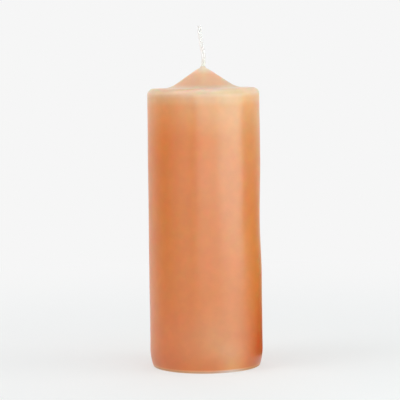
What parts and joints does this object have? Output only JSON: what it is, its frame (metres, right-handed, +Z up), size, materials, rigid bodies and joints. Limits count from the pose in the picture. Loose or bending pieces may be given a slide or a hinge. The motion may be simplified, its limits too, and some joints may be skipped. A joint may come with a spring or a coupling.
{
  "type": "pillar candle",
  "caption": "Round moulded pillar candle with a pointed top, a plaited cotton wick that leans to one side, and a flat base that it stands on.",
  "frame": {"origin": "centre of the base, on the surface that the candle stands on", "axes": "+Z up along the candle's axis, towards the wick; the wick's free end leans towards -X"},
  "size_m": [0.076, 0.076, 0.2282],
  "materials": {
    "wax": "smooth apricot-orange wax with a soft sheen",
    "cotton": "waxed plaited cotton",
    "tinplate": "bright tinplate"
  },
  "bodies": {
    "root": {"wax_body": "wax", "wick": "cotton", "wick_clip": "tinplate"}
  },
  "joints": []
}
